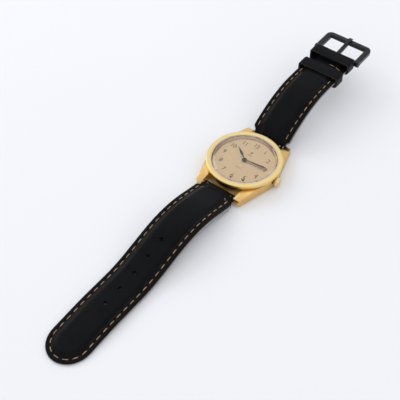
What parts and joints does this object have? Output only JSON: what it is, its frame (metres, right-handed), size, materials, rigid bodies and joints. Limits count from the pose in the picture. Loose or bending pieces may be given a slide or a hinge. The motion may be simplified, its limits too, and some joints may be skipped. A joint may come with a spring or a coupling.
{
  "type": "wristwatch",
  "caption": "Round two-hand wristwatch with a gold-coloured lugged case and crown, on a padded, stitched black leather strap with a pin buckle.",
  "frame": {"origin": "centre of the case back's outer face, on the surface that the watch lies on", "axes": "+X to 3 o'clock and the crown, +Y to 12 o'clock and the buckle, +Z out of the dial"},
  "size_m": [0.0376, 0.2242, 0.0198],
  "materials": {
    "gold_case": "brushed gold plate with polished edges",
    "gold_back": "plain gold plate, fine circular turning",
    "gold_crown": "polished gold plate, fluted",
    "gold_ring": "mirror-polished gold slope",
    "crystal": "clear domed mineral glass",
    "white_nylon": "white nylon",
    "seal_rubber": "soft black rubber",
    "steel": "fine turned steel",
    "movement_brass": "satin brass",
    "copper": "enamelled copper winding",
    "holder_plastic": "moulded ivory plastic",
    "board": "green lacquered board",
    "magnet": "dark sintered magnet on a steel arbor",
    "dial_paint": "fine-grained champagne dial finish",
    "hand_black": "gloss black hands",
    "strap_leather": "smooth black calf leather, semi-gloss",
    "lining_leather": "plain grey-brown lining leather",
    "padding": "felt filler",
    "buckle_black": "black coated steel"
  },
  "bodies": {
    "case": {"mid_case": "gold_case", "bezel": "gold_case", "crystal": "crystal", "crystal_gasket": "white_nylon", "rehaut_ring": "gold_ring", "case_back": "gold_back", "back_gasket": "seal_rubber", "crown_tube": "steel", "movement_holder": "holder_plastic", "main_plate": "movement_brass", "train_bridge": "movement_brass", "movement_screws": "steel", "dial": "dial_paint", "dial_washer": "movement_brass", "battery_cell": "steel", "battery_clamp": "steel", "circuit_board": "board", "oscillator_can": "steel", "coil": "copper", "stator": "steel", "spring_bar_12": "steel", "spring_bar_6": "steel"},
    "minute_hand": {"minute_hand": "hand_black", "hand_cap": "hand_black", "cannon_pinion": "movement_brass", "centre_wheel": "movement_brass"},
    "hour_hand": {"hour_hand": "hand_black", "hour_wheel": "movement_brass"},
    "minute_wheel": {"minute_wheel": "movement_brass"},
    "setting_wheel": {"setting_wheel": "movement_brass"},
    "intermediate_wheel": {"intermediate_wheel": "movement_brass"},
    "rotor": {"rotor": "magnet"},
    "crown_seal": {"crown_gasket": "seal_rubber"},
    "crown": {"crown": "gold_crown", "stem": "steel"},
    "clutch": {"clutch_pinion": "steel"},
    "setting_lever": {"setting_lever": "steel"},
    "yoke": {"yoke": "steel"},
    "strap_12": {"strap_12_upper": "strap_leather", "strap_12_padding": "padding", "strap_12_lining": "lining_leather", "fixed_keeper": "strap_leather", "buckle_bar": "steel"},
    "free_keeper": {"free_keeper": "strap_leather"},
    "buckle": {"buckle_frame": "buckle_black"},
    "tongue": {"buckle_tongue": "buckle_black"},
    "strap_6": {"strap_6_upper": "strap_leather", "strap_6_padding": "padding", "strap_6_lining": "lining_leather"}
  },
  "joints": [
    {"name": "minute_turn", "type": "hinge", "parent": "case", "child": "minute_hand", "pos_m": [0, 0, 0.0019], "axis": [0, 0, -1], "continuous": true},
    {"name": "hour_turn", "type": "hinge", "parent": "case", "child": "hour_hand", "pos_m": [0, 0, 0.0045], "axis": [0, 0, -1], "continuous": true},
    {"name": "minute_wheel_turn", "type": "hinge", "parent": "case", "child": "minute_wheel", "pos_m": [0.0024, 0, 0.0042], "axis": [0, 0, -1], "continuous": true},
    {"name": "setting_wheel_turn", "type": "hinge", "parent": "case", "child": "setting_wheel", "pos_m": [0.00516, 0, 0.0042], "axis": [0, 0, -1], "continuous": true},
    {"name": "intermediate_turn", "type": "hinge", "parent": "case", "child": "intermediate_wheel", "pos_m": [-0.00069, 0.00394, 0.0022], "axis": [0, 0, -1], "continuous": true},
    {"name": "rotor_turn", "type": "hinge", "parent": "case", "child": "rotor", "pos_m": [-0.00355, 0.00559, 0.0025], "axis": [0, 0, -1], "continuous": true},
    {"name": "crown_pull", "type": "slide", "parent": "case", "child": "crown_seal", "axis": [1, 0, 0], "range_m": [0, 0.0008]},
    {"name": "crown_turn", "type": "hinge", "parent": "crown_seal", "child": "crown", "pos_m": [0.018, 0, 0.0031], "axis": [1, 0, 0], "continuous": true},
    {"name": "clutch_slide", "type": "slide", "parent": "crown", "child": "clutch", "axis": [1, 0, 0], "range_m": [-0.00135, 0]},
    {"name": "setting_lever_turn", "type": "hinge", "parent": "case", "child": "setting_lever", "pos_m": [0.00925, 0.0024, 0.0041], "axis": [0, 0, 1], "range_deg": [0, 19.2]},
    {"name": "yoke_turn", "type": "hinge", "parent": "case", "child": "yoke", "pos_m": [0.0071, -0.003, 0.0041], "axis": [0, 0, 1], "range_deg": [0, 9.8]},
    {"name": "strap_12_swing", "type": "hinge", "parent": "case", "child": "strap_12", "pos_m": [0, 0.0202, 0.0028], "axis": [1, 0, 0], "range_deg": [-100, 30]},
    {"name": "strap_6_swing", "type": "hinge", "parent": "case", "child": "strap_6", "pos_m": [0, -0.0202, 0.0028], "axis": [-1, 0, 0], "range_deg": [-90, 50]},
    {"name": "keeper_slide", "type": "slide", "parent": "strap_12", "child": "free_keeper", "axis": [0, 1, 0], "range_m": [-0.003, 0.0045]},
    {"name": "buckle_swing", "type": "hinge", "parent": "strap_12", "child": "buckle", "pos_m": [0, 0.08, 0.0157], "axis": [-1, 0, 0], "range_deg": [-80, 80]},
    {"name": "tongue_lift", "type": "hinge", "parent": "buckle", "child": "tongue", "pos_m": [0, 0.08, 0.0157], "axis": [1, 0, 0], "range_deg": [0, 95]}
  ],
  "couplings": [
    {"joint": "hour_turn", "follows": "minute_turn", "ratio": 0.083333},
    {"joint": "minute_wheel_turn", "follows": "minute_turn", "ratio": -0.33333},
    {"joint": "setting_wheel_turn", "follows": "minute_turn", "ratio": 0.625},
    {"joint": "intermediate_turn", "follows": "minute_turn", "ratio": -9},
    {"joint": "rotor_turn", "follows": "minute_turn", "ratio": 90},
    {"joint": "clutch_slide", "follows": "crown_pull", "ratio": -1.625},
    {"joint": "setting_lever_turn", "follows": "crown_pull", "rad_per_m": 412.8},
    {"joint": "yoke_turn", "follows": "crown_pull", "rad_per_m": 207.9}
  ]
}
